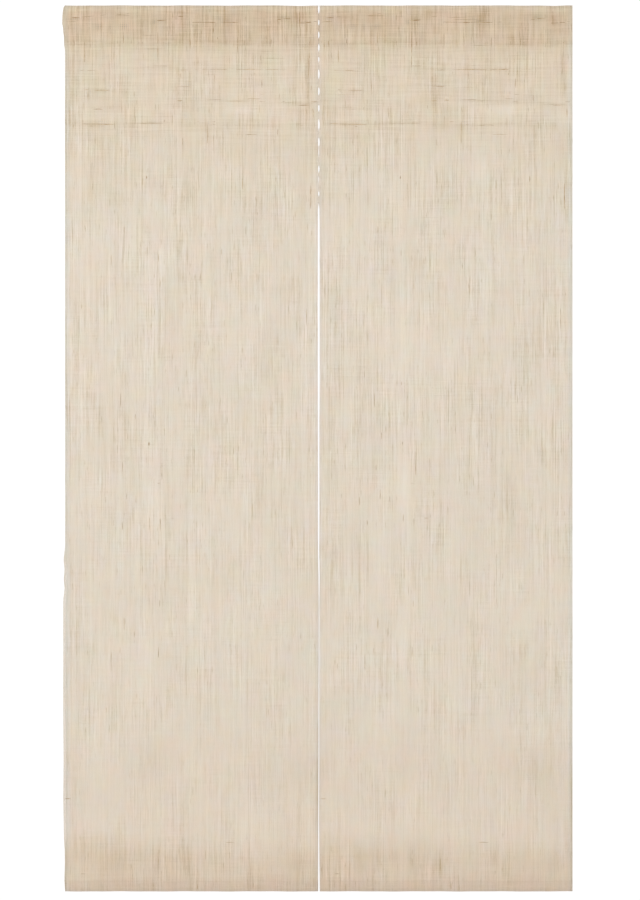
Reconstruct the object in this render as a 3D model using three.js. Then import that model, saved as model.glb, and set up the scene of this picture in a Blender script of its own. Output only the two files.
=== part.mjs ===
// Noren curtain: two unlined panels of loosely woven linen that hang side by side.
// Each panel is one width of cloth with its own selvedges for sides. Its top is folded back and
// sewn down as a rod pocket, and its foot is turned up as a hem. Whip stitches join the panels
// over the top part, and below the last stitch the curtain is parted by a slit.
// Millimetres, +Z up, +X to the right of the front, -Y out of the front.
// The origin is the middle of the top edge. A drop is a distance down from that edge.
import * as THREE from "three";

// Driving sizes
const DROP = 1500;
const WIDTH = 859;
const CLOTH = 1.2;
const STITCHED_GAP = 0.3;

// Rod pocket: room for the rod under the top fold, the drop of the doubled cloth's lower edge,
// and the band above that edge which is sewn shut
const ROD_ROOM = 14;
const POCKET_DROP = 68;
const SEWN_BAND = 5;

// The foot hem is turned up on the back. The selvedges are woven tighter, a little thicker.
const FOOT_HEM = 19;
const SELVEDGE = 4;
const SELVEDGE_STEP = 2;
const SELVEDGE_RISE = 0.4;

// Fineness of the mesh: columns between the selvedges, steps of the top fold, and the tallest
// and the lowest row of faces
const FIELD_COLUMNS = 12;
const FOLD_STEPS = 8;
const TALLEST_ROW = 60;
const LOWEST_ROW = 3;

// Below this drop the cloth hangs free enough to show its ripples in full
const FULL_RIPPLE_DROP = 800;

// Where the joined edges gape between groups of whip stitches: from a top drop to a foot drop
const GAPES = [
  { top: -2, foot: 14, gap: 2.9 },
  { top: 24, foot: 34, gap: 2.4 },
  { top: 44, foot: 56, gap: 2.5 },
  { top: 65, foot: 78, gap: 2.4 },
  { top: 87, foot: 96, gap: 2.1 },
  { top: 108, foot: 124.5, gap: 2.8 },
  { top: 139, foot: 152.5, gap: 2.5 },
  { top: 168.5, foot: 180, gap: 2.4 },
  { top: 192.5, foot: 211, gap: 2.8 },
  { top: 224, foot: 240, gap: 2.6 },
  { top: 240, foot: 256, gap: 1 },
  { top: 271, foot: 283, gap: 2.4 },
  { top: 289, foot: 301, gap: 0.9 },
  { top: 314.5, foot: 323.5, gap: 2.1 },
];

// The slit below the last stitch: its width, and how far its middle drifts to the right
const SLIT = [
  { drop: 334, gap: STITCHED_GAP, drift: 0 },
  { drop: 345, gap: 2.5, drift: -0.2 },
  { drop: 400, gap: 2.9, drift: -0.1 },
  { drop: 640, gap: 2.9, drift: -0.1 },
  { drop: 720, gap: 2.3, drift: -0.3 },
  { drop: 860, gap: 2.3, drift: -0.1 },
  { drop: 920, gap: 1.9, drift: -0.4 },
  { drop: 965, gap: 1.8, drift: 0.4 },
  { drop: 1020, gap: 0.8, drift: 0.4 },
  { drop: 1110, gap: 0.8, drift: 0.3 },
  { drop: 1180, gap: 0.9, drift: 0.1 },
  { drop: 1290, gap: 1, drift: 0 },
  { drop: 1380, gap: 1.1, drift: -0.3 },
  { drop: 1440, gap: 1.8, drift: 0 },
  { drop: 1500, gap: 2.6, drift: 0.2 },
];

// Outer edge of the left panel: the pocket's end gapes, and the lower edge strays outwards
const LEFT_EDGE = [
  { drop: 0, out: 0 },
  { drop: 4, out: 2.6 },
  { drop: 12, out: 4 },
  { drop: 19, out: 4.6 },
  { drop: 31, out: 4.9 },
  { drop: 38, out: 3.3 },
  { drop: 45, out: 3 },
  { drop: 53, out: 1.8 },
  { drop: 68, out: 1.3 },
  { drop: 76, out: 0.2 },
  { drop: 915, out: 0 },
  { drop: 939, out: 2.6 },
  { drop: 956, out: 1 },
  { drop: 972, out: 2.4 },
  { drop: 988, out: 1 },
  { drop: 1006, out: 3.3 },
  { drop: 1180, out: 3.4 },
  { drop: 1277, out: 2.6 },
  { drop: 1345, out: 3.2 },
  { drop: 1412, out: 2 },
  { drop: 1430, out: 0.7 },
  { drop: 1450, out: 0.4 },
  { drop: 1480, out: 1.2 },
  { drop: 1500, out: 0 },
];

// Soft upright ripples of the hanging cloth: where each lies across its panel, how wide it is,
// how far it stands out to the back, and the drop below which it starts to show
const LEFT_RIPPLES = [
  { across: 0, spread: 55, depth: 3.5, start: 140 },
  { across: 118, spread: 62, depth: -3, start: 90 },
  { across: 232, spread: 58, depth: 2.4, start: 260 },
  { across: 330, spread: 46, depth: -2.2, start: 420 },
  { across: 430, spread: 40, depth: 2, start: 360 },
];
const RIGHT_RIPPLES = [
  { across: 0, spread: 48, depth: -1.6, start: 360 },
  { across: 104, spread: 56, depth: 2.6, start: 240 },
  { across: 214, spread: 66, depth: -2.8, start: 90 },
  { across: 322, spread: 50, depth: 2, start: 480 },
  { across: 430, spread: 52, depth: 3, start: 140 },
];

const PANEL_WIDTH = WIDTH / 2;
const ROD_RADIUS = ROD_ROOM / 2;
const ROD_DROP = CLOTH + ROD_RADIUS;
const POCKET_FLOOR = POCKET_DROP - SEWN_BAND;
// The walls leave the round top along lines that meet where the sewing starts
const WALL_LEAN = Math.asin(ROD_RADIUS / (POCKET_FLOOR - ROD_DROP));

// Width of the parting between the panels, from the top edge to the foot
const PARTING = [];
for (const gape of GAPES) {
  PARTING.push({ drop: gape.top, gap: STITCHED_GAP, drift: 0 });
  PARTING.push({ drop: (gape.top + gape.foot) / 2, gap: gape.gap, drift: 0 });
  PARTING.push({ drop: gape.foot, gap: STITCHED_GAP, drift: 0 });
}
PARTING.push(...SLIT);

// Value of one column of a table at a drop, in a straight line between its rows
function valueAt(table, column, drop) {
  const next = table.findIndex((row) => row.drop >= drop);
  if (next === 0) {
    return table[0][column];
  }
  if (next < 0) {
    return table[table.length - 1][column];
  }
  const above = table[next - 1];
  const below = table[next];
  const share = (drop - above.drop) / (below.drop - above.drop);
  return THREE.MathUtils.lerp(above[column], below[column], share);
}

// Drops at which the cloth has a row of points: where the parting or the free outer edge turns,
// and between those wherever they lie far apart
function rowDrops() {
  const freeEdge = LEFT_EDGE.filter((row) => row.drop > SLIT[0].drop);
  const turns = [...PARTING, ...freeEdge]
    .map((row) => row.drop)
    .filter((drop) => drop > 0 && drop < DROP - FOOT_HEM - LOWEST_ROW)
    .sort((a, b) => a - b);
  const rows = [turns[0]];
  for (const turn of turns) {
    const above = rows[rows.length - 1];
    if (turn - above < LOWEST_ROW) {
      continue;
    }
    const count = Math.ceil((turn - above) / TALLEST_ROW);
    for (let i = 1; i <= count; i += 1) {
      rows.push(above + ((turn - above) * i) / count);
    }
  }
  return rows;
}

// One surface of the rod pocket as points from the bottom of its back wall, over the rod
// and down its front wall. The reach is measured from the room for the rod outwards.
function pocketWalls(reach, rows) {
  const radius = ROD_RADIUS + reach;
  const foldAngles = [];
  for (let i = 0; i <= FOLD_STEPS; i += 1) {
    foldAngles.push(-WALL_LEAN + ((Math.PI + 2 * WALL_LEAN) * i) / FOLD_STEPS);
  }
  const fold = foldAngles.map((angle) => new THREE.Vector2(
    radius * Math.cos(angle),
    radius * Math.sin(angle) - ROD_DROP,
  ));
  const wallTop = -fold[0].y;
  const firstRow = wallTop + LOWEST_ROW;
  const lastRow = POCKET_FLOOR - LOWEST_ROW;
  const wallDrops = rows.filter((drop) => drop > firstRow && drop < lastRow);
  const back = wallDrops.map((drop) => {
    const inward = (drop - wallTop) * Math.tan(WALL_LEAN);
    return new THREE.Vector2(fold[0].x - inward, -drop);
  });
  const front = back.map((point) => new THREE.Vector2(-point.x, point.y));
  return [...back.reverse(), ...fold, ...front];
}

// The cloth seen end on: first value is depth to the back, second is height
function clothSection() {
  const rows = rowDrops();
  const freeRows = rows.filter((drop) => drop > POCKET_DROP + LOWEST_ROW);
  const backFace = freeRows.map((drop) => new THREE.Vector2(0, -drop)).reverse();
  const frontFace = freeRows.map((drop) => new THREE.Vector2(-CLOTH, -drop));
  const section = new THREE.Shape([
    new THREE.Vector2(-CLOTH, -DROP),
    new THREE.Vector2(CLOTH, -DROP),
    new THREE.Vector2(CLOTH, FOOT_HEM - DROP),
    new THREE.Vector2(0, FOOT_HEM - DROP),
    ...backFace,
    new THREE.Vector2(0, -POCKET_DROP),
    new THREE.Vector2(CLOTH, -POCKET_DROP),
    new THREE.Vector2(CLOTH, -POCKET_FLOOR),
    ...pocketWalls(CLOTH, rows),
    new THREE.Vector2(-CLOTH, -POCKET_FLOOR),
    new THREE.Vector2(-CLOTH, -POCKET_DROP),
    ...frontFace,
    new THREE.Vector2(-CLOTH, FOOT_HEM - DROP),
  ]);
  section.holes.push(new THREE.Path([
    new THREE.Vector2(0, -POCKET_FLOOR),
    ...pocketWalls(0, rows),
  ]));
  return section;
}

// Places of the columns of points across a panel, as shares of its width
function columnShares() {
  const inner = SELVEDGE + SELVEDGE_STEP;
  const places = [0, SELVEDGE];
  for (let i = 0; i <= FIELD_COLUMNS; i += 1) {
    places.push(inner + ((PANEL_WIDTH - 2 * inner) * i) / FIELD_COLUMNS);
  }
  places.push(PANEL_WIDTH - SELVEDGE, PANEL_WIDTH);
  return places.map((place) => place / PANEL_WIDTH);
}

// How far the ripples carry the cloth to the back at one place
function rippleDepth(ripples, across, drop) {
  let depth = 0;
  for (const ripple of ripples) {
    const growth = THREE.MathUtils.smoothstep(drop, ripple.start, ripple.start + FULL_RIPPLE_DROP);
    const aside = (across - ripple.across) / ripple.spread;
    depth += ripple.depth * growth * Math.exp(-aside * aside);
  }
  return depth;
}

// One panel between two edges, each a function that gives the edge's place at a drop
function makePanel(name, leftEdge, rightEdge, ripples) {
  const shares = columnShares();
  const steps = shares.length - 1;
  const geometry = new THREE.ExtrudeGeometry(clothSection(), {
    depth: steps,
    steps,
    bevelEnabled: false,
  });
  const points = geometry.getAttribute("position");
  for (let i = 0; i < points.count; i += 1) {
    const depth = points.getX(i);
    const drop = -points.getY(i);
    const share = shares[Math.round(points.getZ(i))];
    const across = share * PANEL_WIDTH;
    const fromSide = Math.min(across, PANEL_WIDTH - across);
    const onSelvedge = depth === 0 && drop >= POCKET_DROP && fromSide <= SELVEDGE;
    const rise = onSelvedge ? SELVEDGE_RISE : 0;
    points.setXYZ(
      i,
      THREE.MathUtils.lerp(leftEdge(drop), rightEdge(drop), share),
      depth + rise + rippleDepth(ripples, across, drop),
      -drop,
    );
  }
  geometry.computeVertexNormals();
  const linen = new THREE.MeshStandardMaterial({ color: 0xdfd3c1, roughness: 0.92, metalness: 0 });
  const panel = new THREE.Mesh(geometry, linen);
  panel.name = name;
  return panel;
}

const partingMiddle = (drop) => valueAt(PARTING, "drift", drop);
const partingHalf = (drop) => valueAt(PARTING, "gap", drop) / 2;

const curtain = new THREE.Group();
curtain.add(makePanel(
  "left_panel",
  (drop) => -PANEL_WIDTH - valueAt(LEFT_EDGE, "out", drop),
  (drop) => partingMiddle(drop) - partingHalf(drop),
  LEFT_RIPPLES,
));
curtain.add(makePanel(
  "right_panel",
  (drop) => partingMiddle(drop) + partingHalf(drop),
  () => PANEL_WIDTH,
  RIGHT_RIPPLES,
));

export default curtain;
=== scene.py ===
import math
import random

import bmesh
import bpy
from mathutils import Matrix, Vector


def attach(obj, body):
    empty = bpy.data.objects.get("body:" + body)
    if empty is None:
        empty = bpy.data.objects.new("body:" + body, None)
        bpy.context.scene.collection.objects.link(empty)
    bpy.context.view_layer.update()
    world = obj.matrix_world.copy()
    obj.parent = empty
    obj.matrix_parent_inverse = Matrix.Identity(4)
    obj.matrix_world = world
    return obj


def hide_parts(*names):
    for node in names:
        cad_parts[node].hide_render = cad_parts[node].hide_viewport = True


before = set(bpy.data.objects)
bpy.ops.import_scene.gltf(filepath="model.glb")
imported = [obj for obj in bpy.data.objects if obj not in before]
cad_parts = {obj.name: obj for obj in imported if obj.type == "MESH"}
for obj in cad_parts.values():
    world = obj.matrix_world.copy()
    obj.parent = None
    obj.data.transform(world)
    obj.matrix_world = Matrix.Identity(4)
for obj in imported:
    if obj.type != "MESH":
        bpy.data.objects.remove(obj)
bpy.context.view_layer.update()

# The two panels: one woven width of unbleached linen each, with its own selvedges for sides.
# The foot is turned up as a hem, and the top is folded back as a pocket for a rod and sewn down,
# both with the raw edge turned in. Sizes are in millimetres and a drop is measured down from the top edge.
MM = 0.001
DROP = 1500
PANEL_WIDTH = 429.5
CAD_CLOTH = 1.2
CLOTH = 0.55
LAYER = 0.6
FOOT_HEM = 19
TURNED_IN = 8
ROD_RADIUS = 7
ROD_DROP = CAD_CLOTH + ROD_RADIUS
POCKET_DROP = 68
POCKET_FLOOR = 63
STITCHED_GAP = 0.2
# The cloth's mesh: flat pieces round each fold, then the space between its rows and its columns
EDGE_TURN = 4
FOOT_TURN = 6
ROD_TURN = 22
HEM_ROWS = 4
FREE_ROWS = 8
JOINED_ROWS = 3
CLOSEST_ROWS = 1.2
COLUMNS = 4.4
SIDE_COLUMNS = [0, 1.5, 3, 5, 8, 12, 17, 23]


def table(columns, *rows):
    """Rows of sizes under named columns."""
    return [dict(zip(columns.split(), row)) for row in rows]


# Where the joined edges gape between the whip stitches: from one drop to the next, and how wide
GAPES = table("top foot gap",
    (-2, 14, 2.7),
    (24, 34, 2.2),
    (44, 56, 2.3),
    (65, 78, 2.2),
    (87, 96, 1.9),
    (108, 124.5, 2.6),
    (139, 152.5, 2.3),
    (168.5, 180, 2.2),
    (192.5, 211, 2.6),
    (224, 240, 2.4),
    (240, 256, 0.8),
    (271, 283, 2.2),
    (289, 301, 0.7),
    (314.5, 323.5, 1.9),
)
# The free slit below them: how wide it hangs open, and how far its middle drifts to the right
SLIT = table("drop gap drift",
    (334, 0.0, 0.0),
    (345, 2.5, -0.2),
    (400, 2.9, -0.1),
    (640, 2.9, -0.1),
    (720, 2.3, -0.3),
    (860, 2.3, -0.1),
    (920, 1.9, -0.4),
    (965, 1.8, 0.4),
    (1020, 0.8, 0.4),
    (1110, 0.8, 0.3),
    (1180, 0.9, 0.1),
    (1290, 1.0, 0.0),
    (1380, 1.1, -0.3),
    (1440, 1.8, 0.0),
    (1500, 2.6, 0.2),
)
# How far the left panel's outer edge strays: the pocket's end gapes, the lower edge frays out
LEFT_EDGE = table("drop out",
    (0, 0.0),
    (4, 2.6),
    (12, 4.0),
    (19, 4.6),
    (31, 4.9),
    (38, 3.3),
    (45, 3.0),
    (53, 1.8),
    (68, 1.3),
    (76, 0.2),
    (915, 0.0),
    (939, 2.6),
    (956, 1.0),
    (972, 2.4),
    (988, 1.0),
    (1006, 3.3),
    (1180, 3.4),
    (1277, 2.6),
    (1345, 3.2),
    (1412, 2.0),
    (1430, 0.7),
    (1450, 0.4),
    (1480, 1.2),
    (1500, 0.0),
)
# Soft upright ripples: place across the panel, width, depth to the back, drop where each starts
LEFT_RIPPLES = table("across spread depth start",
    (0, 55, 3.5, 140),
    (118, 62, -3.0, 90),
    (232, 58, 2.4, 260),
    (330, 46, -2.2, 420),
    (430, 40, 2.0, 360),
)
RIGHT_RIPPLES = table("across spread depth start",
    (0, 48, -1.6, 360),
    (104, 56, 2.6, 240),
    (214, 66, -2.8, 90),
    (322, 50, 2.0, 480),
    (430, 52, 3.0, 140),
)
FULL_RIPPLE_DROP = 800
# How far in from an edge its straying is still felt by the cloth
EDGE_REACH = 14
# The top fold sinks a little near each panel's right end
SAG = {"from_right": 28, "spread": 15, "depth": 0.6, "reach": 20}
# The ridge along the whipped edges: its height, its reach, and the gape at which it is gone
RIDGE = {"height": 0.45, "reach": 4, "open_gap": 1.4}
# Rows of sewing, front and back: under the rod pocket, and along the foot hem
SEWN_ROWS = table("drop pucker reach",
    (65.5, 0.3, 10),
    (1483.5, 0.2, 9),
)


def between_rows(table, column, drop):
    """Value of one column of a table at a drop, in a straight line between its rows."""
    if drop <= table[0]["drop"]:
        return table[0][column]
    for above, below in zip(table, table[1:]):
        if drop <= below["drop"]:
            share = (drop - above["drop"]) / (below["drop"] - above["drop"])
            return above[column] + (below[column] - above[column]) * share
    return table[-1][column]


def smooth_rise(value, low, high):
    """0 below low, 1 above high, with a soft rise between them."""
    share = min(max((value - low) / (high - low), 0), 1)
    return share * share * (3 - 2 * share)


def parting(drop):
    """Half the width between the panels at a drop."""
    gap = STITCHED_GAP
    for gape in GAPES:
        if gape["top"] < drop < gape["foot"]:
            share = (drop - gape["top"]) / (gape["foot"] - gape["top"])
            gap += gape["gap"] * math.sin(math.pi * share) ** 0.7
    if drop > SLIT[0]["drop"]:
        gap = max(STITCHED_GAP, between_rows(SLIT, "gap", drop))
    return gap / 2


def fold_line():
    """The cloth seen end on, from the edge inside the foot hem to the edge inside the pocket.

    Each point is (length along the cloth from the foot fold, depth, height).
    """
    lean = math.asin(ROD_RADIUS / (POCKET_FLOOR - ROD_DROP))
    points = []

    def turn(depth, height, radius, start, end, steps):
        for i in range(steps + 1):
            angle = math.radians(start + (end - start) * i / steps)
            points.append((depth + radius * math.cos(angle), height + radius * math.sin(angle)))

    half = LAYER / 2
    foot = -DROP + CLOTH / 2
    points.append((0, foot + FOOT_HEM - TURNED_IN))
    turn(half, foot + FOOT_HEM - half, half, 180, 0, EDGE_TURN)
    turn(0, foot + LAYER, LAYER, 0, -180, FOOT_TURN)
    foot_index = len(points) - 1 - FOOT_TURN // 2
    points.append((-LAYER, -POCKET_FLOOR))
    lean_angle = math.degrees(lean)
    turn(0, -ROD_DROP, ROD_RADIUS + LAYER, 180 + lean_angle, -lean_angle, ROD_TURN)
    points.append((LAYER, -POCKET_FLOOR))
    turn(half, -POCKET_DROP + half, half, 0, -180, EDGE_TURN)
    points.append((0, -POCKET_DROP + TURNED_IN))
    lengths = [0.0]
    for a, b in zip(points, points[1:]):
        lengths.append(lengths[-1] + math.dist(a, b))
    return [(length - lengths[foot_index], *p) for length, p in zip(lengths, points)]


FOLDS = fold_line()
CUT_LENGTH = FOLDS[-1][0] - FOLDS[0][0]


def along_cloth(length):
    """Depth and height of the cloth at a length from the foot fold, up the front."""
    for a, b in zip(FOLDS, FOLDS[1:]):
        if length <= b[0]:
            share = (length - a[0]) / (b[0] - a[0])
            return a[1] + (b[1] - a[1]) * share, a[2] + (b[2] - a[2]) * share
    return FOLDS[-1][1], FOLDS[-1][2]


def cut_rows():
    """Lengths along the cloth where its mesh has a row: at each fold, and close by the stitches."""
    rows = [fold[0] for fold in FOLDS]
    joined = DROP - SLIT[1]["drop"]
    parts = (
        (FOLDS[0][0], 0, HEM_ROWS),
        (0, joined, FREE_ROWS),
        (joined, FOLDS[-1][0], JOINED_ROWS),
    )
    for low, high, step in parts:
        count = round((high - low) / step)
        rows += [low + (high - low) * i / count for i in range(count + 1)]
    rows.sort()
    kept = [rows[0]]
    for row in rows[1:]:
        fold = any(abs(row - f[0]) < 1e-6 for f in FOLDS)
        if row - kept[-1] > CLOSEST_ROWS or (fold and row - kept[-1] > 0.05):
            kept.append(row)
    return kept


def cut_columns():
    """Places across the cloth where its mesh has a column: fine by the sides, then even."""
    inset = SIDE_COLUMNS[-1]
    field = PANEL_WIDTH - 2 * inset
    count = round(field / COLUMNS)
    even = [inset + field * i / count for i in range(1, count)]
    return SIDE_COLUMNS + even + [PANEL_WIDTH - s for s in reversed(SIDE_COLUMNS)]


class Panel:
    """One hung panel: where its cloth lies for a place across it and a length along it."""

    def __init__(self, side, left, right, ripples, seed):
        self.name = f"{side}_panel"
        self.left, self.right, self.ripples, self.seed = left, right, ripples, seed
        self.start = -PANEL_WIDTH if side == "left" else 0
        self.own_patches = []

    def from_seam(self, across):
        """Distance from the edge that is joined to the other panel."""
        return PANEL_WIDTH - across if self.start else across

    def ripple(self, across, drop):
        """The soft ripples, which grow from where they start."""
        depth = 0
        for r in self.ripples:
            growth = smooth_rise(drop, r["start"], r["start"] + FULL_RIPPLE_DROP)
            depth += r["depth"] * growth * math.exp(-(((across - r["across"]) / r["spread"]) ** 2))
        return depth

    def pucker(self, across, drop):
        """The cloth draws up in little waves along each row of sewing."""
        depth = 0
        for row in SEWN_ROWS:
            near = math.exp(-(((drop - row["drop"]) / row["reach"]) ** 2))
            waves = math.sin(across / 2.1 + self.seed) + 0.8 * math.sin(across / 3.7 + 2 * self.seed)
            depth += row["pucker"] * near * waves
        return depth

    def sewn_edge(self, across, drop):
        """The whipped edges are drawn up into a low ridge on the front."""
        if drop > SLIT[0]["drop"]:
            return 0
        closed = 1 - min(2 * parting(drop) / RIDGE["open_gap"], 1)
        return -RIDGE["height"] * closed * math.exp(-self.from_seam(across) / RIDGE["reach"])

    def wave(self, across, drop):
        """The top fold and the foot aren't quite straight."""
        waves = math.sin(across / 19 + self.seed) + 0.7 * math.sin(across / 8.3 + 3 * self.seed)
        return 0.16 * waves * (math.exp(-drop / 25) + math.exp(-(DROP - drop) / 25))

    def place(self, across, length):
        """Where a place of the flat cut cloth hangs, in metres."""
        depth, height = along_cloth(length)
        drop = -height
        x = self.start + across
        x += self.left(drop) * math.exp(-across / EDGE_REACH)
        x += self.right(drop) * math.exp(-(PANEL_WIDTH - across) / EDGE_REACH)
        y = depth + self.ripple(across, drop) + self.pucker(across, drop)
        y += self.sewn_edge(across, drop)
        sag = math.exp(-(((PANEL_WIDTH - across - SAG["from_right"]) / SAG["spread"]) ** 2))
        z = height + self.wave(across, drop)
        z -= SAG["depth"] * sag * (1 - smooth_rise(drop, 0, SAG["reach"]))
        return Vector((x, y, z)) * MM


left_panel = Panel(
    "left",
    lambda drop: -between_rows(LEFT_EDGE, "out", drop),
    lambda drop: between_rows(SLIT, "drift", drop) - parting(drop),
    LEFT_RIPPLES,
    seed=3,
)
right_panel = Panel(
    "right",
    lambda drop: between_rows(SLIT, "drift", drop) + parting(drop),
    lambda drop: 0.0,
    RIGHT_RIPPLES,
    seed=11,
)
right_panel.own_patches = [{"across": 429, "drop": 1465, "wide": 3, "high": 50, "stain": 0.8}]


def shaded_by_angle(mesh, degrees):
    """Smooth shading, but for edges that turn more than so many degrees."""
    bm = bmesh.new()
    bm.from_mesh(mesh)
    for face in bm.faces:
        face.smooth = True
    for edge in bm.edges:
        edge.smooth = edge.calc_face_angle(0) < math.radians(degrees)
    bm.to_mesh(mesh)
    bm.free()


def show(name, mesh, material):
    """A finished piece of the curtain in the scene, held with the whole of it."""
    piece = bpy.data.objects.new(name, mesh)
    bpy.context.scene.collection.objects.link(piece)
    mesh.materials.append(material)
    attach(piece, "root")
    return piece


# Soft patches where the yarn is browner, above 0, or paler, below 0, and one of painted shade along an
# edge. Sizes are half widths.
STAINS_AND_EDGE_SHADE = table("across drop wide high stain",
    (138, 210, 7, 200, -0.30),
    (204, 150, 17, 55, 0.34),
    (190, 165, 12, 9, 0.40),
    (211, 136, 6, 7, 0.45),
    (62, 144, 7, 5, 0.40),
    (85, 172, 12, 7, 0.30),
    (47, 203, 12, 5, 0.45),
    (113, 203, 6, 7, 0.45),
    (205, 203, 16, 6, 0.28),
    (240, 210, 4, 16, 0.45),
    (199, 238, 4, 12, 0.40),
    (397, 201, 7, 5, 0.40),
    (413, 108, 4, 36, 0.80),
    (8, 170, 5, 75, 0.34),
    (328, 90, 4, 14, 0.40),
    (366, 158, 9, 9, 0.32),
    (300, 178, 60, 9, -0.45),
    (60, 187, 40, 6, -0.25),
    (190, 15, 14, 8, 0.5),
    (274, 24, 7, 14, 0.75),
    (277, 20, 15, 22, 0.3),
    (372, 21, 16, 6, 0.6),
    (397, 24, 7, 12, 0.8),
    (95, 18, 8, 6, 0.5),
    (164, 24, 10, 5, 0.5),
    (33, 64, 6, 9, 0.5),
    (275, 52, 8, 12, 0.3),
    (340, 64, 12, 6, 0.3),
    (65, 55, 16, 12, -0.35),
    (272, 284, 18, 22, -0.40),
    (208, 320, 7, 30, 0.40),
    (84, 325, 9, 14, 0.45),
    (325, 372, 8, 26, 0.40),
    (400, 330, 7, 30, 0.25),
    (45, 420, 28, 60, -0.20),
    (143, 560, 7, 110, -0.35),
    (345, 600, 12, 45, 0.25),
    (145, 830, 9, 60, -0.50),
    (212, 770, 5, 30, 0.50),
    (325, 830, 10, 60, 0.30),
    (140, 1090, 9, 70, -0.40),
    (370, 1290, 62, 45, 0.30),
    (8, 1290, 14, 40, 0.30),
    (150, 1285, 40, 34, 0.20),
    # Painted shade along the low part of the left panel's joined edge and the right panel's outer edge
    (428, 1340, 3, 85, 1.10),
    (40, 1385, 45, 20, -0.15),
    (157, 1447, 3.5, 24, 0.9),
    (205, 1456, 5, 20, 0.8),
    (100, 1450, 6, 24, 0.5),
    (71, 1452, 9, 24, 0.5),
    (128, 1440, 4, 12, 0.5),
    (298, 1440, 4, 14, 0.6),
    (315, 1462, 4, 18, 0.5),
    (396, 1450, 14, 18, 0.4),
    (3, 1452, 5, 22, 0.5),
    (345, 1478, 75, 3, 0.35),
    (270, 108.5, 80, 2.4, 0.40),
    (285, 161, 55, 2.6, 0.35),
    (395, 167, 32, 2.8, 0.45),
    (45, 200.5, 42, 2.8, 0.60),
    (145, 200, 38, 2.6, 0.45),
    (320, 203, 90, 2.8, 0.40),
    (158, 103, 24, 2.4, 0.35),
    (60, 144, 24, 2.6, 0.35),
)
# Places beside the thick yarns where the weave is drawn apart
OPENINGS = table("across drop wide high open",
    (57, 36, 6, 6, 1.0),
    (76, 38, 4, 6, 0.9),
    (98, 36, 10, 6, 1.0),
    (150, 28, 4, 4, 0.9),
    (15, 22.5, 10, 2.5, 0.9),
    (37, 147, 8, 5, 0.9),
    (208, 135, 5, 4, 0.8),
    (270, 27, 8, 4, 0.7),
    (260, 22, 5, 3, 0.7),
    (368, 20, 6, 4, 0.8),
    (217, 156, 4, 6, 0.7),
    (315, 147, 5, 4, 0.7),
    (245, 198, 5, 4, 0.7),
    (65, 197, 15, 3, 0.8),
    (203, 187, 5, 4, 0.6),
    (72, 84, 5, 8, 0.5),
)
# Places in the top part that are greener, above 0, or pinker, below 0
TINGES = table("across drop wide high green",
    (22, 8, 30, 7, 0.7),
    (122, 9, 38, 8, 0.7),
    (52, 43, 10, 9, 0.4),
    (30, 30, 13, 12, -0.2),
    (75, 38, 14, 9, -0.1),
    (198, 24, 16, 26, -0.5),
    (112, 62, 18, 10, 1.2),
    (74, 67, 11, 8, 0.8),
    (189, 67, 11, 8, 0.9),
    (99, 95, 15, 18, 1.2),
    (30, 120, 17, 18, 1.3),
    (154, 90, 10, 14, 1.0),
    (313, 18, 9, 12, 0.8),
    (372, 15, 11, 11, 0.8),
    (416, 14, 9, 13, 1.0),
    (398, 22, 10, 10, -1.0),
    (268, 75, 12, 9, 0.7),
    (310, 71, 11, 7, 0.8),
    (246, 68, 9, 7, -0.7),
    (348, 95, 13, 12, 0.8),
    (414, 105, 9, 14, -1.1),
    (20, 148, 9, 12, 0.9),
    (372, 148, 9, 14, 0.8),
    (385, 182, 14, 9, -1.0),
    (124, 186, 9, 12, 0.7),
    (230, 184, 13, 11, 0.7),
    (383, 202, 18, 7, 0.7),
    (80, 226, 17, 7, 1.0),
    (50, 241, 12, 7, 1.0),
    (120, 238, 12, 14, 0.5),
)


def painted(patches, column, across, drop):
    """Sum of a table's soft patches at one place of the cloth."""
    total = 0
    for patch in patches:
        aside = (across - patch["across"]) / patch["wide"]
        along = (drop - patch["drop"]) / patch["high"]
        if abs(aside) < 2.5 and abs(along) < 2.5:
            total += patch[column] * math.exp(-aside * aside - along * along)
    return total


def weave_panel(panel):
    """The cut cloth as a flat grid, hung in its folds and given its thickness."""
    rows, columns = cut_rows(), cut_columns()
    bm = bmesh.new()
    cut = bm.loops.layers.uv.new("cut")
    stain = bm.verts.layers.float.new("stain")
    opened = bm.verts.layers.float.new("open")
    green = bm.verts.layers.float.new("green")
    bmesh.ops.create_grid(bm, x_segments=len(columns) - 1, y_segments=len(rows) - 1, size=0.5)
    places = {}
    for vert in bm.verts:
        across = columns[round((vert.co.x + 0.5) * (len(columns) - 1))]
        length = rows[round((vert.co.y + 0.5) * (len(rows) - 1))]
        places[vert] = (across * MM, length * MM)
        vert.co = panel.place(across, length)
        vert[stain] = painted(STAINS_AND_EDGE_SHADE + panel.own_patches, "stain", across, DROP - length)
        vert[opened] = painted(OPENINGS, "open", across, DROP - length)
        vert[green] = painted(TINGES, "green", across, DROP - length)
    for face in bm.faces:
        for loop in face.loops:
            loop[cut].uv = places[loop.vert]
    flat = bpy.data.meshes.new(f"{panel.name}_flat")
    bm.to_mesh(flat)
    bm.free()
    hung = bpy.data.objects.new(f"{panel.name}_hung", flat)
    bpy.context.scene.collection.objects.link(hung)
    thick = hung.modifiers.new("thickness", "SOLIDIFY")
    thick.thickness = CLOTH * MM
    thick.offset = 0
    thick.use_even_offset = False
    seen = hung.evaluated_get(bpy.context.evaluated_depsgraph_get())
    mesh = bpy.data.meshes.new_from_object(seen)
    mesh.name = f"{panel.name}_cloth"
    bpy.data.objects.remove(hung)
    bpy.data.meshes.remove(flat)
    shaded_by_angle(mesh, 60)
    return mesh


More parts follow.
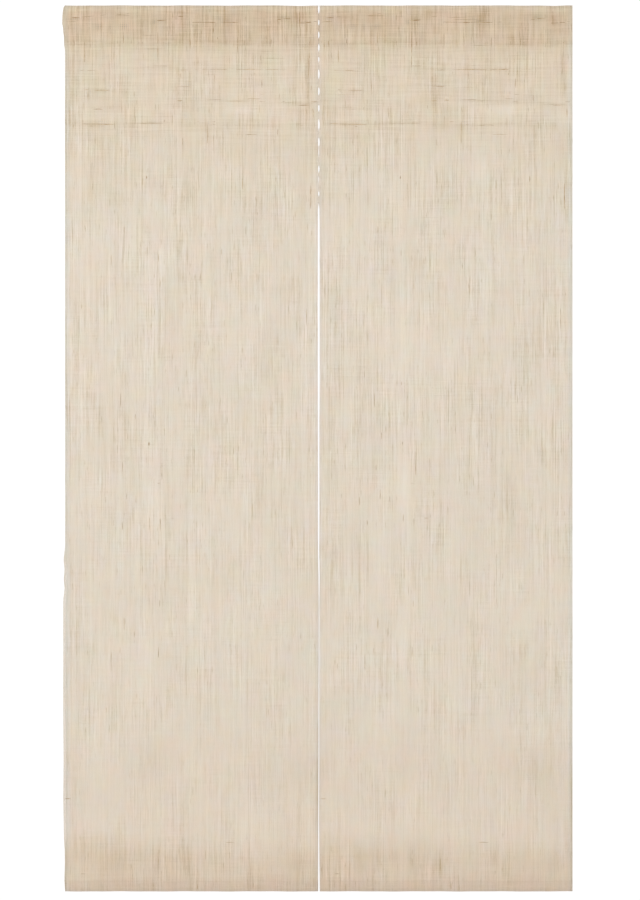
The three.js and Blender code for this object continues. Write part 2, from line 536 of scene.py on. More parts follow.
class Value:
    """A socket of a material's node tree that can be used in Python sums."""

    def __init__(self, nodes, socket):
        self.nodes, self.socket = nodes, socket

    def maths(self, operation, *others, clamp=False):
        settings = {"operation": operation, "use_clamp": clamp}
        return self.nodes.node("ShaderNodeMath", settings, [self, *others])

    def __add__(self, other):
        return self.maths("ADD", other)

    def __sub__(self, other):
        return self.maths("SUBTRACT", other)

    def __mul__(self, other):
        return self.maths("MULTIPLY", other)

    def __truediv__(self, other):
        return self.maths("DIVIDE", other)

    def __radd__(self, other):
        return self + other

    def __rmul__(self, other):
        return self * other

    def __rsub__(self, other):
        return (self * -1) + other

    def floor(self):
        return self.maths("FLOOR")

    def clamp(self):
        return self.maths("ADD", 0, clamp=True)

    def step(self, low, high):
        """0 below low, 1 above high, with a soft step between them."""
        settings = {"interpolation_type": "SMOOTHSTEP"}
        return self.nodes.node("ShaderNodeMapRange", settings, [self, low, high, 0, 1])


class Nodes:
    """A material and its node tree, empty but for the output."""

    def __init__(self, name):
        self.material = bpy.data.materials.new(name)
        self.material.use_nodes = True
        self.tree = self.material.node_tree
        self.tree.nodes.clear()

    def node(self, kind, settings=None, inputs=(), output=0):
        """A node by type, with its settings made first and then its sockets set or linked."""
        node = self.tree.nodes.new(kind)
        for key, value in (settings or {}).items():
            if key == "stops":
                self.ramp_stops(node.color_ramp, value)
            else:
                setattr(node, key, value)
        pairs = inputs.items() if isinstance(inputs, dict) else enumerate(inputs)
        for key, value in pairs:
            if isinstance(value, Value):
                self.tree.links.new(value.socket, node.inputs[key])
            else:
                node.inputs[key].default_value = value
        return Value(self, node.outputs[output]) if len(node.outputs) else None

    def ramp_stops(self, ramp, stops):
        while len(ramp.elements) > 1:
            ramp.elements.remove(ramp.elements[-1])
        ramp.elements[0].position = stops[0][0]
        ramp.elements[0].color = (*stops[0][1], 1)
        for position, colour in stops[1:]:
            ramp.elements.new(position).color = (*colour, 1)

    def cut_places(self):
        """Place across the cloth and length along it, in metres of the flat cut."""
        uv = self.node("ShaderNodeUVMap", {"uv_map": "cut"})
        parts = self.tree.nodes.new("ShaderNodeSeparateXYZ")
        self.tree.links.new(uv.socket, parts.inputs[0])
        return Value(self, parts.outputs[0]), Value(self, parts.outputs[1])

    def object_places(self):
        """Place on the whole curtain, in metres, and the height in it, 0 at the top edge."""
        places = Value(self, self.tree.nodes.new("ShaderNodeTexCoord").outputs["Object"])
        return places, self.node("ShaderNodeSeparateXYZ", {}, [places], output=2)

    def painted(self, layer):
        """A number painted on the mesh."""
        return self.node("ShaderNodeAttribute", {"attribute_name": layer}, output="Fac")

    def noise(self, x, y, detail=2.0, roughness=0.5):
        vector = self.node("ShaderNodeCombineXYZ", {}, [x, y, 0.0])
        settings = {"noise_dimensions": "2D"}
        inputs = {"Vector": vector, "Scale": 1.0, "Detail": detail, "Roughness": roughness}
        return self.node("ShaderNodeTexNoise", settings, inputs)

    def finish(self, shader):
        self.node("ShaderNodeOutputMaterial", {}, [shader])
        return self.material


def linear(red, green, blue):
    """A colour given in the screen's 0 to 255 as the light it stands for."""
    shares = [c / 255 for c in (red, green, blue)]
    return tuple(s / 12.92 if s <= 0.04045 else ((s + 0.055) / 1.055) ** 2.4 for s in shares)


# The cloth's finish: slack plain weave about ten yarns to the centimetre, uneven in every yarn,
# darker and browner where it is doubled as painted shade, with tighter selvedges partly painted darker as
# shade along the edges, and a soft darker, browner band above the foot hem.
WARP_PITCH = 0.00105
WEFT_PITCH = 0.0011
OPEN_PITCH = 0.0034
# How many yarns' widths the yarns stray from straight, at most
WAVER = 2.4
# The cloth's tone by its height above the foot, in millimetres, with painted shade in it: darker over the
# doubled foot hem and pocket, a darker line at the foot edge and just under the top fold, and a painted
# highlight along the top edge
TONES_AND_PAINTED_SHADE = table("height tone",
    (0, (207, 191, 174)),
    (3, (215, 198, 178)),
    (15, (217, 199, 180)),
    (23, (217, 202, 183)),
    (57, (217, 202, 183)),
    (96, (223, 211, 195)),
    (250, (223, 212, 197)),
    (300, (223, 213, 198)),
    (1100, (223, 213, 198)),
    (1170, (222, 212, 196)),
    (1240, (221, 210, 193)),
    (1290, (220, 208, 190)),
    (1405, (220, 207, 188)),
    (1430, (216, 202, 181)),
    (1435, (216, 199, 176)),
    (1460, (217, 199, 175)),
    (1486, (215, 196, 172)),
    (1496, (219, 203, 180)),
    (1520, (217, 200, 177)),
)
LONGEST = 1600
# Heights above the foot, in metres, over which the cloth changes from one part to the next
ABOVE_FOOT_BAND = (0.05, 0.09)
ABOVE_LOW_PART = (0.24, 0.34)
INTO_UPPER_PART = (0.62, 0.80)
INTO_TOP_PART = (1.24, 1.30)
INTO_POCKET = (1.425, 1.435)
# How much the runs of thick and thin stand out in the low part, and what each other part adds
PLAIN_RUNS = 0.56
MORE_RUNS = {"middle": 0.17, "upper": 0.14, "pocket": 0.32, "foot": 0.30}
# The darker, browner band above the foot and the browner top part: where the edge of each is uneven, and
# how far it strays and slopes
FOOT_DARK_BAND = {"from": (0.022, 0.035), "to": (0.09, 0.12), "stray": 0.014, "slope": 0.044, "drop": 0.008}
TOP_BROWN_BAND = {"from": (1.10, 1.20), "to": (1.36, 1.42), "stray": 0.16}
# Distances from an edge, in metres, over which the selvedge and its pale fringe end
SELVEDGE = (0.0012, 0.0030)
OUTER_FRINGE = (0.0008, 0.0018)
INNER_FRINGE = (0.0006, 0.0018)
# How see-through the fringes are, and how much more so the frayed one is
OUTER_SHEER = 0.16
FRAYED_SHEER = 0.24
INNER_SHEER = {"left_panel": 0.36, "right_panel": 0.12}
# Light that comes through the thin cloth from behind: its share in the finish and its one tone
THROUGH = 0.25
THROUGH_TONE = (223, 213, 198)
# The part of what is seen from the front that this light makes up, in an evenly lit room
THROUGH_SEEN = 0.10
# How far the left panel's outer selvedge is frayed out, and over which heights that begins and ends
FRAY = 0.0025
FRAY_BEGINS = (0.07, 0.09)
FRAY_ENDS = (0.55, 0.58)


def facing(tone):
    """The surface's own colour that is seen as a tone once the light through it is added."""
    through = linear(*THROUGH_TONE)
    return tuple(t + (s - t) / (1 - THROUGH_SEEN) for s, t in zip(linear(*tone), through))


def linen(panel):
    """The finish of one panel. Noise is scaled in waves for each metre, or for each yarn."""
    seed = panel.seed
    nodes = Nodes(f"{panel.name}_linen")
    across, along = nodes.cut_places()

    # The slack yarns waver, and warp and weft take turns on top
    warp_place = across / WARP_PITCH + nodes.noise(across * 34 + seed, along * 9) * WAVER
    weft_place = along / WEFT_PITCH + nodes.noise(across * 9, along * 34 + seed) * WAVER
    warp, weft = warp_place.floor(), weft_place.floor()
    warp_over = (warp + weft).maths("PINGPONG", 1)

    top_share = along.step(*INTO_TOP_PART)
    pocket = along.step(*INTO_POCKET)

    # Each warp yarn has its own run of thick and thin places, short ones on longer ones, and now
    # and then a dark fleck. The runs stand out more where the cloth is doubled and higher up, and
    # in loose clumps all over.
    warp_run = nodes.noise(warp * 17.31 + seed, along * 21, detail=2, roughness=0.6) * 0.74
    warp_run = warp_run + nodes.noise(warp * 5.13 + seed, along * 4.5, detail=1) * 0.70 - 0.22
    warp_fleck = nodes.noise(warp * 9.17 + seed * 5, along * 38, detail=1)
    contrast = PLAIN_RUNS + MORE_RUNS["middle"] * along.step(*ABOVE_LOW_PART)
    contrast = contrast + MORE_RUNS["upper"] * along.step(*INTO_UPPER_PART)
    contrast = contrast + MORE_RUNS["pocket"] * pocket
    contrast = contrast + MORE_RUNS["foot"] * (1 - along.step(*ABOVE_FOOT_BAND))
    clump = nodes.noise(across * 24 + seed * 7, along * 9, detail=1)
    contrast = contrast * (0.6 + 0.8 * clump.step(0.32, 0.68))
    warp_tone = (warp_run - 0.5) * 0.80 - warp_fleck.step(0.69, 0.88) * 0.36

    # The weft is evener, with long thick yarns here and there near the top
    weft_run = nodes.noise(across * 13, weft * 13.7 + seed, detail=2, roughness=0.55)
    weft_slub = nodes.noise(across * 10, weft * 7.9 + seed * 3, detail=1)
    weft_tone = (weft_run - 0.5) * (0.22 + 0.08 * pocket)
    weft_tone = weft_tone - weft_slub.step(0.74, 0.90) * (0.07 + 0.26 * top_share)

    # Near the top some lengths of weft lie closer together than others, and of warp too
    rows = nodes.noise(across * 11, along * 270 + seed, detail=2) - 0.5
    bunches = nodes.noise(across * 180 + seed, along * 26, detail=1) - 0.5

    # Cloudy unevenness of the whole length, and the patches painted on the mesh
    cloud = nodes.noise(across * 14 + seed, along * 7, detail=3) - 0.5
    stain = nodes.painted("stain")
    opened = nodes.painted("open").clamp()

    # The cloth's tone and painted shade down its length, with uneven edges to the browner bands at the
    # foot and the top
    band_edge_noise = nodes.noise(across * 30 + seed, along * 9, detail=3) - 0.5
    waver = along.step(*FOOT_DARK_BAND["from"]) * (1 - along.step(*FOOT_DARK_BAND["to"]))
    strayed = band_edge_noise * FOOT_DARK_BAND["stray"] + across * FOOT_DARK_BAND["slope"] - FOOT_DARK_BAND["drop"]
    zone_at = along + waver * strayed
    upper = along.step(*TOP_BROWN_BAND["from"]) * (1 - along.step(*TOP_BROWN_BAND["to"]))
    zone_at = zone_at + upper * band_edge_noise * TOP_BROWN_BAND["stray"]
    stops = [(row["height"] / LONGEST, facing(row["tone"])) for row in TONES_AND_PAINTED_SHADE]
    tone_and_painted_shade = nodes.node("ShaderNodeValToRGB", {"stops": stops}, [zone_at / (LONGEST * MM)])

    # Tighter, greyer selvedges. The outer one has a pale fringe, painted paler as light showing through
    # it, and a dark line beside it, partly a tighter selvedge and partly painted shade along the edge, and
    # the fringe of the left panel is frayed wider over its lower part.
    other_side = PANEL_WIDTH * MM - across
    outer, inner = (across, other_side) if panel.start else (other_side, across)
    selvedge = 1 - across.maths("MINIMUM", other_side).step(*SELVEDGE)
    sheer = OUTER_SHEER
    if panel.start:
        frayed = along.step(*FRAY_BEGINS) * (1 - along.step(*FRAY_ENDS))
        outer = outer - frayed * FRAY
        sheer = OUTER_SHEER + FRAYED_SHEER * frayed
    fringe = (1 - outer.step(*OUTER_FRINGE)) * sheer
    fringe = fringe + (1 - inner.step(*INNER_FRINGE)) * INNER_SHEER[panel.name]
    # Outer edge colour: a painted pale rim of light showing through, a dark line that is partly painted
    # edge shade, then the greyer selvedge
    outer_selvedge_and_edge_light = nodes.node("ShaderNodeValToRGB", {"stops": [
        (0.10, (1.0, 1.038, 1.10)),
        (0.17, (0.862, 0.919, 0.95)),
        (0.28, (0.862, 0.919, 0.95)),
        (0.38, (0.962, 0.994, 1.038)),
        (0.60, (0.962, 0.994, 1.038)),
        (0.95, (1.0, 1.0, 1.0)),
    ]}, [outer * 100])
    inner_tint = nodes.node("ShaderNodeValToRGB", {"stops": [
        (0.25, (0.969, 0.981, 1.025)),
        (0.60, (1.0, 1.0, 1.0)),
    ]}, [inner * 100])

    # Where the weave is drawn apart, light comes through between bunched yarns, and the colour there is
    # painted paler with that light
    hole_across = (across / OPEN_PITCH).maths("FRACT") - 0.5
    hole_along = (along / OPEN_PITCH).maths("FRACT") - 0.5
    hole_and_painted_light = (1 - hole_across * hole_across * 4) * (1 - hole_along * hole_along * 4)
    hole_and_painted_light = hole_and_painted_light.step(0.3, 0.8) * opened

    # Round yarns, painted lighter on their crests and darker in the hollows between them as painted shade,
    # with fibres that run along the one on top
    warp_bow = warp_place - warp - 0.5
    weft_bow = weft_place - weft - 0.5
    warp_ridge = 1 - warp_bow * warp_bow * 4
    weft_ridge = 1 - weft_bow * weft_bow * 4
    over = warp_ridge * (0.5 + 0.5 * warp_over) + weft_ridge * (1 - 0.5 * warp_over)
    fibre = nodes.noise(
        across * (600 + 1800 * warp_over), along * (2400 - 1800 * warp_over), detail=1,
    )

    yarn_tone = warp_tone * (0.5 + warp_over) + weft_tone * (1.5 - warp_over)
    tone = 0.5 + yarn_tone * contrast + cloud * 0.12 - stain * 0.22
    tone = tone + rows * (0.22 * top_share) + bunches * (0.08 * top_share + 0.16 * pocket)
    # (over - 1) paints shade in the hollows between yarns and light on their crests
    # The openings are painted paler too, as the light that comes through them
    tone = tone + (over - 1) * 0.22 + (fibre - 0.5) * 0.3 + hole_and_painted_light * 0.5 - opened * 0.08
    yarn = nodes.node("ShaderNodeValToRGB", {"stops": [
        (0.0, (0.588, 0.505, 0.344)),
        (0.5, (1.0, 1.0, 1.0)),
        (1.0, (1.218, 1.26, 1.344)),
    ]}, [tone.clamp()])

    # Some yarns are browner and some bluer, and patches of them greener or pinker
    hue = nodes.noise(across * 60 + seed, along * 42, detail=2) * 0.6 + 0.15
    hue = hue + nodes.noise(warp * 3.7 + seed, along * 9, detail=1) * 0.1
    hue = hue + (nodes.noise(across * 16 + seed, along * 11, detail=1) - 0.5) * 0.3
    tint = nodes.node("ShaderNodeValToRGB", {"stops": [
        (0.2, (1.029, 0.988, 0.938)),
        (0.8, (0.972, 1.012, 1.062)),
    ]}, [hue])
    green = nodes.noise(across * 30 + seed * 9, along * 24, detail=3) + nodes.painted("green") * 0.3
    greened = nodes.node("ShaderNodeValToRGB", {"stops": [
        (0.1, (1.017, 0.979, 1.017)),
        (0.9, (0.983, 1.021, 0.983)),
    ]}, [green])
    colour = tone_and_painted_shade
    for layer in (yarn, tint, greened, outer_selvedge_and_edge_light, inner_tint):
        colour = nodes.node("ShaderNodeVectorMath", {"operation": "MULTIPLY"}, [colour, layer])

    # The yarns stand up in relief
    height = over * 0.6 + warp_run * 0.8 + weft_run * 0.5 + fibre * 0.2
    bump = nodes.node("ShaderNodeBump", {}, {
        "Strength": 0.45, "Distance": 0.0004, "Height": height,
    })

    # Small gaps stay open between the yarns
    gap = ((1 - warp_ridge) * (1 - weft_ridge)).step(0.35, 0.95)
    gap = gap * (0.5 - selvedge * 0.45) * (1.2 - warp_run)
    opacity = (1 - gap - hole_and_painted_light * 0.6 - fringe).clamp()

    surface = nodes.node("ShaderNodeBsdfPrincipled", {}, {
        "Base Color": colour,
        "Roughness": 0.9,
        "Specular IOR Level": 0.25,
        "Sheen Weight": 0.08,
        "Sheen Roughness": 0.5,
        "Alpha": opacity,
        "Normal": bump,
    })
    glow = nodes.node("ShaderNodeBsdfTranslucent", {}, {"Color": (*linear(*THROUGH_TONE), 1)})
    cloth = nodes.node("ShaderNodeMixShader", {}, [THROUGH, surface, glow])
    return nodes.finish(cloth)


for panel in (left_panel, right_panel):
    mesh = weave_panel(panel)
    cloth = show(f"{panel.name}_cloth", mesh, linen(panel))
    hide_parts(panel.name)

# Slubs: thick soft lengths of the yarn itself, browner than the rest, which stand a little proud
# of both faces. Weft slubs are placed by the drop and warp slubs by the place across. The same
# lengths of cloth show in both panels. The fine flecks between them are in the cloth's finish.
SLUB_STEP = 4
SLUB_WAVER = 0.15
WEFT_SLUBS = table("start end drop rise thick",
    (8, 81, 21.5, 7, 1.0),
    (81, 114, 14.2, -2.6, 0.9),
    (188, 307, 28.3, 0, 1.0),
    (114, 190, 18, 0, 0.7),
    (182, 366, 108.7, 0, 0.9),
    (233, 342, 162, 0, 0.8),
    (364, 429, 167.5, 0, 0.9),
    (2, 92, 200.8, 0, 0.9),
    (100, 190, 200.4, 0, 0.8),
    (222, 342, 203, 0, 0.8),
    (10, 28, 20.5, 0, 1.6),
    (2, 26, 28, 1.5, 1.2),
    (27, 52, 18.8, 2.5, 1.0),
    (79, 114, 17.3, 0, 1.2),
    (94, 113, 13.5, 0, 0.9),
    (153, 174, 25.5, 1, 1.8),
    (189, 202, 18.6, 0, 1.2),
    (207, 229, 28, 0, 1.0),
    (242, 258, 28.7, 0, 1.2),
    (261, 298, 28.6, 0, 1.5),
    (302, 311, 28, 0, 1.0),
    (358, 367, 23.4, 0, 1.4),
    (367, 385, 22.2, 0, 1.5),
    (390, 408, 29.5, 0, 1.6),
    (406, 419, 28.6, 0, 1.5),
    (418, 429, 27.2, 0, 1.1),
    (146, 182, 102.5, 0, 1.0),
    (134, 146, 104.5, 0, 0.9),
    (20, 66, 110, 0, 1.2),
    (184, 228, 109.5, 0, 1.0),
    (228, 290, 108.5, 0, 1.5),
    (302, 324, 108.3, 0, 1.5),
    (336, 364, 108.5, 0, 1.1),
    (46, 80, 143.8, 0, 1.5),
    (30, 42, 143, 0, 1.0),
    (187, 215, 137, 0, 1.5),
    (188, 201, 161.5, 0, 1.5),
    (210, 222, 160.5, 0, 1.2),
    (234, 275, 159.5, 0, 1.0),
    (323, 342, 150.7, 0, 1.0),
    (297, 338, 158, 0, 0.9),
    (325, 343, 163, 0, 1.0),
    (366, 374, 162.5, 0, 1.0),
    (415, 429, 163.2, 0, 1.4),
    (392, 418, 169.5, 0, 1.0),
    (45, 67, 175.8, 0, 1.2),
    (2, 45, 200, 0, 1.0),
    (45, 88, 201.5, 0, 1.4),
    (42, 48, 204.5, 0, 1.1),
    (60, 67, 205, 0, 1.1),
    (107, 185, 199.5, 0, 1.0),
    (220, 230, 197, 0, 1.1),
    (248, 256, 197, 0, 1.1),
    (248, 256, 201.5, 0, 1.4),
    (260, 300, 202.5, 0, 0.9),
    (288, 330, 218.8, 0, 1.0),
    (394, 405, 203.5, 0, 1.1),
    (155, 162, 809, 0, 1.3),
    (177, 187, 868, 0, 1.3),
    (1, 13, 1343, 0, 1.3),
    (268, 290, 1417, 0, 1.4),
    (25, 38, 1470, 0, 1.3),
)
WARP_SLUBS = table("across top foot lean thick",
    (16, 58, 72, 0, 1.1),
    (33, 58, 100, 0, 1.5),
    (47, 45, 75, 0, 0.9),
    (82, 182, 228, 4, 0.9),
    (99, 40, 68, 0, 1.3),
    (112, 45, 70, 0, 1.1),
    (125, 58, 70, 0, 1.0),
    (131, 58, 70, 0, 1.0),
    (157, 35, 112, 0, 1.5),
    (166, 58, 72, 0, 1.4),
    (212, 30, 85, 0, 1.0),
    (251, 32, 50, 0, 0.9),
    (258, 52, 60, 0, 1.1),
    (292, 48, 85, 0, 1.0),
    (306, 5, 50, 0, 0.9),
    (339, 30, 72, 3, 1.2),
    (347, 45, 72, 0, 1.2),
    (362, 22, 44, 0, 0.9),
    (396.5, 2, 40, 0, 1.6),
    (331, 80, 100, 0, 1.0),
    (415, 45, 130, -3, 1.6),
    (89, 118, 150, 0, 0.9),
    (117, 142, 158, 0, 1.0),
    (76, 167, 180, 0, 1.0),
    (118, 165, 196, 0, 1.1),
    (153, 162, 185, 0, 1.0),
    (159, 185, 195, 0, 1.0),
    (168, 192, 200, 0, 1.0),
    (184, 165, 178, 0, 1.0),
    (253, 95, 168, 0, 0.9),
    (241, 192, 238, 0, 1.4),
    (233, 195, 205, 0, 1.0),
    (321, 112, 120, 0, 1.0),
    (333, 118, 145, 0, 1.2),
    (363, 143, 165, 0, 1.0),
    (360, 205, 225, 0, 1.0),
    (417, 132, 146, 0, 1.4),
    (420, 172, 193, 0, 1.4),
    (327, 192, 205, 0, 1.0),
    (299, 95, 108, 0, 1.0),
    (199, 221, 242, 0, 1.2),
    (357, 287, 301, 0, 1.4),
    (300, 291, 313, 0, 1.4),
    (416, 297, 350, 0, 1.8),
    (138, 288, 295, 0, 1.7),
    (100, 371, 394, 0, 1.2),
    (139, 404, 428, 0, 1.1),
    (158, 418, 438, 0, 1.2),
    (78, 418, 446, 0, 1.1),
    (161, 462, 484, 0, 1.1),
    (265, 408, 428, 0, 1.1),
    (254, 462, 482, 0, 1.1),
    (28, 503, 516, 0, 1.1),
    (409, 503, 560, 0, 1.1),
    (77, 612, 634, 0, 1.1),
    (140, 635, 645, 0, 1.1),
    (192, 643, 656, 0, 1.1),
    (94, 650, 684, 0, 1.1),
    (119, 690, 703, 0, 1.1),
    (106, 719, 737, 0, 1.1),
    (142, 738, 746, 0, 1.9),
    (97, 769, 792, 0, 1.2),
    (164, 762, 810, 0, 1.1),
    (104, 816, 840, 0, 1.2),
    (69, 829, 849, 0, 1.1),
    (120, 826, 845, 0, 1.1),
    (97, 867, 892, 0, 1.2),
    (82, 868, 884, 0, 1.1),
    (161, 865, 897, 0, 1.4),
    (143, 858, 882, 0, 1.1),
    (160, 1004, 1021, 0, 1.1),
    (100, 1034, 1060, 0, 1.4),
    (117, 1048, 1084, 0, 1.1),
    (78, 1091, 1128, 0, 1.4),
    (93, 1083, 1105, 0, 1.2),
    (158, 1083, 1106, 0, 1.4),
    (158, 1417, 1476, 0, 0.9),
    (206, 1438, 1476, 0, 0.9),
    (224, 1484, 1499, 0, 1.4),
)


def yarn(bm, places, thick, sides=6):
    """A closed round thread through places, as thick at each as its list of sizes says."""
    rings = []
    last = len(places) - 1
    normal = None
    for i, place in enumerate(places):
        ahead = (places[min(i + 1, last)] - places[max(i - 1, 0)]).normalized()
        if normal is None:
            normal = ahead.orthogonal()
        normal = (normal - ahead * normal.dot(ahead)).normalized()
        aside = ahead.cross(normal)
        ring = []
        for s in range(sides):
            angle = 2 * math.pi * s / sides
            out = math.cos(angle) * normal + math.sin(angle) * aside
            ring.append(bm.verts.new(place + out * (thick[i] / 2 * MM)))
        rings.append(ring)
    for low, high in zip(rings, rings[1:]):
        for s in range(sides):
            t = (s + 1) % sides
            bm.faces.new((low[s], low[t], high[t], high[s]))
    bm.faces.new(rings[0][::-1])
    bm.faces.new(rings[-1])


def drawn_out(thick, steps, chance):
    """Uneven sizes along a slub, which is thickest in its middle and thin at its ends."""
    lumps = [chance.uniform(0.4, 1.15) for _ in range(steps // 2 + 2)]
    sizes = []
    for i in range(steps + 1):
        lump = (lumps[i // 2] + lumps[(i + 1) // 2]) / 2
        taper = max(math.sin(math.pi * i / steps), 0) ** 0.7
        sizes.append(thick * (0.12 + 0.88 * lump * taper))
    return sizes


def closed_mesh(bm, name):
    """The finished mesh of closed threads, facing outwards."""
    bmesh.ops.recalc_face_normals(bm, faces=bm.faces)
    mesh = bpy.data.meshes.new(name)
    bm.to_mesh(mesh)
    bm.free()
    shaded_by_angle(mesh, 70)
    return mesh


def slub_yarns(panel):
    """All the slubs of a panel, laid along its hung cloth."""
    chance = random.Random(panel.seed)
    bm = bmesh.new()
    for slub in WEFT_SLUBS:
        long = slub["end"] - slub["start"]
        steps = max(4, round(long / SLUB_STEP))
        places = []
        for i in range(steps + 1):
            share = i / steps
            waver = chance.uniform(-SLUB_WAVER, SLUB_WAVER)
            drop = slub["drop"] - slub["rise"] * share + waver
            places.append(panel.place(slub["start"] + long * share, DROP - drop))
        yarn(bm, places, drawn_out(slub["thick"], steps, chance))
    for slub in WARP_SLUBS:
        long = slub["foot"] - slub["top"]
        steps = max(4, round(long / SLUB_STEP))
        places = []
        for i in range(steps + 1):
            share = i / steps
            waver = chance.uniform(-SLUB_WAVER, SLUB_WAVER)
            across = slub["across"] + slub["lean"] * share + waver
            places.append(panel.place(across, DROP - slub["top"] - long * share))
        yarn(bm, places, drawn_out(slub["thick"], steps, chance))
    return closed_mesh(bm, f"{panel.name}_slubs")


def slub_finish():
    nodes = Nodes("slub_yarn")
    places, height = nodes.object_places()
    # The slubs are painted darker on the pocket, as shade like that of the doubled cloth there
    pocket_shade = height.step(-0.070, -0.066)
    lump = nodes.node("ShaderNodeTexNoise", {}, {"Vector": places, "Scale": 90.0, "Detail": 2.0})
    fibre = nodes.node("ShaderNodeTexNoise", {}, {"Vector": places, "Scale": 800.0, "Detail": 2.0})
    colour = nodes.node("ShaderNodeValToRGB", {"stops": [
        (0.36, linear(150, 121, 86)),
        (0.62, linear(203, 183, 154)),
    ]}, [lump * 0.6 + fibre * 0.4 - pocket_shade * 0.08])
    bump = nodes.node("ShaderNodeBump", {}, {"Strength": 0.4, "Distance": 0.0002, "Height": fibre})
    surface = nodes.node("ShaderNodeBsdfPrincipled", {}, {
        "Base Color": colour, "Roughness": 0.88, "Specular IOR Level": 0.2, "Normal": bump,
    })
    return nodes.finish(surface)


slub_material = slub_finish()
slubs = {}
for panel in (left_panel, right_panel):
    slubs[panel.name] = show(f"{panel.name}_slubs", slub_yarns(panel), slub_material)

# The sewing: cloth coloured thread. A row of short stitches holds the rod pocket and another the
# foot hem, seen on both faces. The panels' selvedges are whipped together over the top part,
# front wall to front wall and back to back, so a rod still passes through the pocket.
STITCH_PITCH = 3.1
STITCH_LONG = 2.5
STITCH_THICK = 0.5
WHIP_PITCH = 2.0
WHIP_REACH = 2.2
WHIP_FLOAT = 1.2
WHIP_LIFT = 0.55
WHIP_THICK = 0.6
WHIP_STEPS = 10


def walls(drop):
    """Lengths along the cloth at which it passes a drop, the front one first."""
    found = []
    for a, b in zip(FOLDS, FOLDS[1:]):
        if a[0] >= 0 and min(a[2], b[2]) < -drop <= max(a[2], b[2]):
            found.append(a[0] + (b[0] - a[0]) * (-drop - a[2]) / (b[2] - a[2]))
    return found


def sewn_rows(panel):
    """Short stitches, their ends sunk in the cloth, on the front and on the back."""
    chance = random.Random(panel.seed + 50)
    surface = CLOTH / 2 + 0.05
    count = int(PANEL_WIDTH / STITCH_PITCH)
    margin = (PANEL_WIDTH - count * STITCH_PITCH + STITCH_PITCH - STITCH_LONG) / 2
    bm = bmesh.new()
    for row in SEWN_ROWS:
        for outer, inner in ((-surface, 0.1), (2 * LAYER + surface, 2 * LAYER - 0.1)):
            for i in range(count):
                start = margin + i * STITCH_PITCH
                drop = row["drop"] + chance.uniform(-0.12, 0.12)
                places = []
                for share, depth in ((0, inner), (0.12, outer), (0.88, outer), (1, inner)):
                    place = panel.place(start + STITCH_LONG * share, DROP - drop)
                    places.append(place + Vector((0, depth * MM, 0)))
                yarn(bm, places, [STITCH_THICK] * 4, sides=5)
    return closed_mesh(bm, f"{panel.name}_sewing")


def whip_places(wall):
    """The whipping thread: turns round both selvedges where they meet, and floats between."""
    chance = random.Random(70 + wall)
    outward = -1 if wall == 0 else 1
    feet = [gape["top"] for gape in GAPES[1:]] + [SLIT[0]["drop"]]
    places = []

    def beside_seam(drop, aside, out):
        length = walls(drop)[wall]
        middle = (left_panel.place(PANEL_WIDTH, length) + right_panel.place(0, length)) / 2
        places.append(middle + Vector((aside, out * outward, 0)) * MM)

    for gape, foot in zip(GAPES, feet):
        top = gape["foot"]
        if wall == 1 and foot > POCKET_FLOOR:
            break
        turns = max(1, round((foot - top) / WHIP_PITCH))
        beside_seam(top, -WHIP_FLOAT, -WHIP_LIFT)
        for i in range(turns):
            reach = WHIP_REACH * chance.uniform(0.75, 1.1)
            for step in range(WHIP_STEPS):
                angle = 2 * math.pi * step / WHIP_STEPS
                drop = top + (foot - top) * (i + step / WHIP_STEPS) / turns
                beside_seam(drop, -reach * math.cos(angle), WHIP_LIFT * math.sin(angle))
        beside_seam(foot, -WHIP_FLOAT, -WHIP_LIFT)
    return places


def whipping():
    bm = bmesh.new()
    for wall in (0, 1):
        places = whip_places(wall)
        yarn(bm, places, [WHIP_THICK] * len(places), sides=5)
    return closed_mesh(bm, "whip_stitches")


def thread_finish(name, tones_and_shade):
    """Twisted thread, coloured by the height: the foot is 0 and the top is 1. Its colour holds painted
    shade, darker where it lies on the doubled foot hem and pocket.
    """
    nodes = Nodes(name)
    places, height = nodes.object_places()
    stops = [(share, linear(*colour)) for share, colour in tones_and_shade]
    tone = nodes.node("ShaderNodeValToRGB", {"stops": stops}, [(height + DROP * MM) / (DROP * MM)])
    twist = nodes.node("ShaderNodeTexNoise", {}, {"Vector": places, "Scale": 900.0, "Detail": 2.0})
    bump = nodes.node("ShaderNodeBump", {}, {"Strength": 0.4, "Distance": 0.0001, "Height": twist})
    surface = nodes.node("ShaderNodeBsdfPrincipled", {}, {
        "Base Color": tone, "Roughness": 0.8, "Specular IOR Level": 0.3, "Normal": bump,
    })
    return nodes.finish(surface)


# The sewing thread is painted darker at the foot hem and on the pocket, as shade of the doubled cloth
thread = thread_finish("sewing_thread", [
    (0.0, (206, 187, 166)),
    (0.03, (212, 195, 174)),
    (0.94, (216, 200, 178)),
    (0.96, (207, 187, 161)),
])
# The whipping thread is painted darker on the pocket, as shade of the doubled cloth
whip_thread = thread_finish("whipping_thread", [
    (0.80, (230, 221, 207)),
    (0.94, (229, 218, 202)),
    (0.96, (216, 199, 176)),
])
sewn_on = {panel.name: [slubs[panel.name]] for panel in (left_panel, right_panel)}
for panel in (left_panel, right_panel):
    sewn_on[panel.name].append(show(f"{panel.name}_sewing", sewn_rows(panel), thread))
sewn_on["left_panel"].append(show("whip_stitches", whipping(), whip_thread))

for panel in (left_panel, right_panel):
    CUT_LENGTH * MM

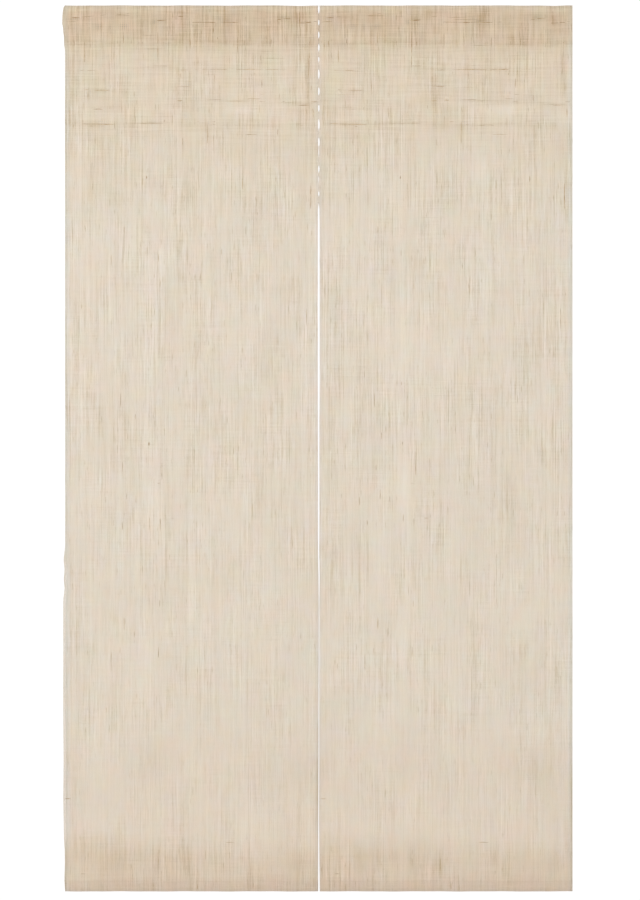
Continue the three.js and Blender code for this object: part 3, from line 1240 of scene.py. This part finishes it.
# The studio: a plain pale floor, white all round, and one wide soft lamp at the upper left.
FLOOR_HALF = 4
FLOOR_DROP = 1.9
WHITE = (1, 1, 1, 1)
SEEN_WHITE = 1.05
ROOM_LIGHT = 1.01
LAMP_SIDE = 2.4
LAMP_POWER = 66.6
LAMP_PLACE = (-1.1, -4.6, -0.2)
LAMP_AIM = (0, 0, -0.75)
floor_mesh = bpy.data.meshes.new("floor")
bm = bmesh.new()
bmesh.ops.create_grid(bm, x_segments=1, y_segments=1, size=FLOOR_HALF)
bmesh.ops.translate(bm, verts=bm.verts, vec=(0, 0, -FLOOR_DROP))
bm.to_mesh(floor_mesh)
bm.free()
floor = bpy.data.objects.new("floor", floor_mesh)
bpy.context.scene.collection.objects.link(floor)
paint = Nodes("pale_floor")
floor_mesh.materials.append(paint.finish(paint.node("ShaderNodeBsdfPrincipled", {}, {
    "Base Color": (0.82, 0.81, 0.8, 1), "Roughness": 0.8,
})))

world = bpy.data.worlds.new("white_studio")
bpy.context.scene.world = world
world.use_nodes = True
sky = world.node_tree
sky.nodes.clear()
seen = sky.nodes.new("ShaderNodeBackground")
seen.inputs["Color"].default_value = WHITE
seen.inputs["Strength"].default_value = SEEN_WHITE
lights = sky.nodes.new("ShaderNodeBackground")
lights.inputs["Color"].default_value = WHITE
lights.inputs["Strength"].default_value = ROOM_LIGHT
kind = sky.nodes.new("ShaderNodeLightPath")
either = sky.nodes.new("ShaderNodeMixShader")
output = sky.nodes.new("ShaderNodeOutputWorld")
sky.links.new(kind.outputs["Is Camera Ray"], either.inputs[0])
sky.links.new(lights.outputs[0], either.inputs[1])
sky.links.new(seen.outputs[0], either.inputs[2])
sky.links.new(either.outputs[0], output.inputs[0])

lamp = bpy.data.lights.new("soft_lamp", "AREA")
lamp.shape = "RECTANGLE"
lamp.size = LAMP_SIDE
lamp.size_y = LAMP_SIDE
lamp.energy = LAMP_POWER
softbox = bpy.data.objects.new("soft_lamp", lamp)
bpy.context.scene.collection.objects.link(softbox)
softbox.location = LAMP_PLACE
aim = Vector(LAMP_AIM) - softbox.location
softbox.rotation_euler = aim.to_track_quat("-Z", "Y").to_euler()

# The camera looks straight at the front, from so far that nothing narrows with distance.
VIEW_HEIGHT = 1.5235
VIEW_RIGHT = 0.0020
VIEW_DOWN = 0.7528
VIEW_FROM = 5
camera_data = bpy.data.cameras.new("camera")
camera_data.type = "ORTHO"
camera_data.ortho_scale = VIEW_HEIGHT
camera_data.clip_end = 50
camera = bpy.data.objects.new("camera", camera_data)
bpy.context.scene.collection.objects.link(camera)
camera.location = (VIEW_RIGHT, -VIEW_FROM, -VIEW_DOWN)
camera.rotation_euler = (math.radians(90), 0, 0)
bpy.context.scene.camera = camera
bpy.context.scene.view_settings.view_transform = "Standard"
